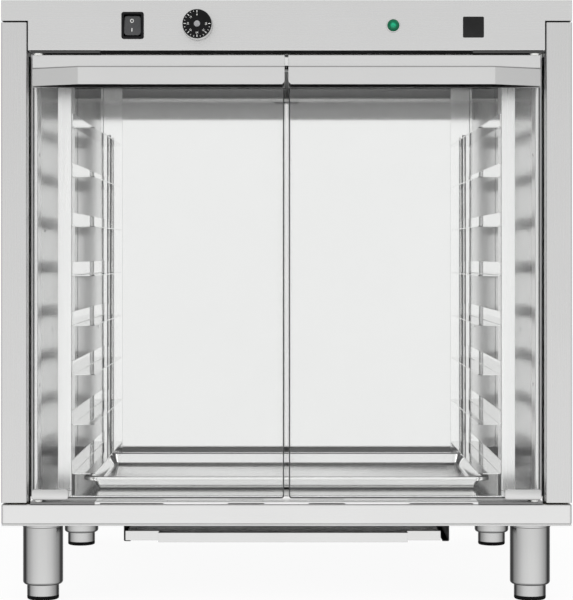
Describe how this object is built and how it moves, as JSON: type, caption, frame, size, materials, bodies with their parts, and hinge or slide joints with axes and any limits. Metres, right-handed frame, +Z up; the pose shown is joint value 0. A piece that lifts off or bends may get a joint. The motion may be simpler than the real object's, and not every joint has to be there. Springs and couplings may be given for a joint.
{
  "type": "proofing cabinet",
  "caption": "Countertop proofing cabinet in brushed steel with two glass doors, tray guides on both sides, a water pan, a drip tray, a thermostat knob and screw feet.",
  "frame": {"origin": "on the floor, under the middle of the overall box", "axes": "+X to the right as seen from the front, +Y from the doors to the back, +Z up"},
  "size_m": [0.784, 0.689, 0.83],
  "materials": {
    "satin_steel": "fine vertical brushing, satin",
    "bright_steel": "bright cold-rolled",
    "liner_steel": "bright annealed, nearly mirror-like",
    "dark_steel": "matte dark coating",
    "clear_glass": "clear toughened glass",
    "black_plastic": "moulded satin",
    "grey_plastic": "moulded gloss",
    "green_lens": "translucent lens",
    "mineral_wool": "fibrous",
    "white_nylon": "moulded",
    "heater_steel": "heat-darkened"
  },
  "bodies": {
    "cabinet": {"base_tray": "satin_steel", "side_panel_left": "satin_steel", "side_panel_right": "satin_steel", "top_cover": "satin_steel", "back_panel": "satin_steel", "control_fascia": "satin_steel", "door_frame": "bright_steel", "drain_sill": "bright_steel", "chamber_floor": "liner_steel", "liner_left": "liner_steel", "liner_right": "liner_steel", "chamber_ceiling": "liner_steel", "duct_panel": "liner_steel", "chamber_back": "liner_steel", "insulation": "mineral_wool", "hinge_plate_bottom_left": "bright_steel", "hinge_plate_bottom_right": "bright_steel", "hinge_plate_top_left": "bright_steel", "hinge_plate_top_right": "bright_steel", "catch_bracket": "bright_steel", "catch_magnet": "black_plastic", "rack_front_upright_left": "bright_steel", "rack_front_upright_right": "bright_steel", "rack_rear_upright_left": "bright_steel", "rack_rear_upright_right": "bright_steel", "rack_guides_left": "bright_steel", "rack_guides_right": "bright_steel", "heating_element": "heater_steel", "tray_housing": "dark_steel", "leg_sleeve_front_left": "satin_steel", "leg_sleeve_front_right": "satin_steel", "leg_sleeve_rear_left": "satin_steel", "leg_sleeve_rear_right": "satin_steel", "switch_bezel": "black_plastic", "thermostat_body": "grey_plastic", "pilot_lamp": "green_lens", "cable_gland": "black_plastic"},
    "door_left": {"door_rail_left": "satin_steel", "rail_clamp_left": "satin_steel", "door_glass_left": "clear_glass", "rail_bush_left": "white_nylon", "hinge_bracket_left": "satin_steel", "hinge_washer_left": "white_nylon"},
    "door_right": {"door_rail_right": "satin_steel", "rail_clamp_right": "satin_steel", "door_glass_right": "clear_glass", "rail_bush_right": "white_nylon", "hinge_bracket_right": "satin_steel", "hinge_washer_right": "white_nylon"},
    "pan": {"water_pan": "liner_steel"},
    "drip": {"drip_tray": "satin_steel"},
    "rocker": {"switch_rocker": "grey_plastic"},
    "knob": {"thermostat_knob": "black_plastic"},
    "foot_fl": {"foot_front_left": "satin_steel"},
    "foot_fr": {"foot_front_right": "satin_steel"},
    "foot_rl": {"foot_rear_left": "satin_steel"},
    "foot_rr": {"foot_rear_right": "satin_steel"}
  },
  "joints": [
    {"name": "door_left_hinge", "type": "hinge", "parent": "cabinet", "child": "door_left", "pos_m": [-0.341, -0.3043, 0.45], "axis": [0, 0, -1], "range_deg": [0, 95]},
    {"name": "door_right_hinge", "type": "hinge", "parent": "cabinet", "child": "door_right", "pos_m": [0.341, -0.3043, 0.45], "axis": [0, 0, 1], "range_deg": [0, 95]},
    {"name": "water_pan_slide", "type": "slide", "parent": "cabinet", "child": "pan", "axis": [0, -1, 0], "range_m": [0, 0.07]},
    {"name": "drip_tray_slide", "type": "slide", "parent": "cabinet", "child": "drip", "axis": [0, -1, 0], "range_m": [0, 0.12]},
    {"name": "switch_rock", "type": "hinge", "parent": "cabinet", "child": "rocker", "pos_m": [-0.2113, -0.306, 0.79525], "axis": [1, 0, 0], "range_deg": [0, 14]},
    {"name": "thermostat_turn", "type": "hinge", "parent": "cabinet", "child": "knob", "pos_m": [-0.1219, -0.32, 0.79525], "axis": [0, 1, 0], "range_deg": [0, 270]},
    {"name": "foot_front_left_screw", "type": "slide", "parent": "cabinet", "child": "foot_fl", "axis": [0, 0, -1], "range_m": [0, 0.04]},
    {"name": "foot_front_right_screw", "type": "slide", "parent": "cabinet", "child": "foot_fr", "axis": [0, 0, -1], "range_m": [0, 0.04]},
    {"name": "foot_rear_left_screw", "type": "slide", "parent": "cabinet", "child": "foot_rl", "axis": [0, 0, -1], "range_m": [0, 0.04]},
    {"name": "foot_rear_right_screw", "type": "slide", "parent": "cabinet", "child": "foot_rr", "axis": [0, 0, -1], "range_m": [0, 0.04]}
  ]
}
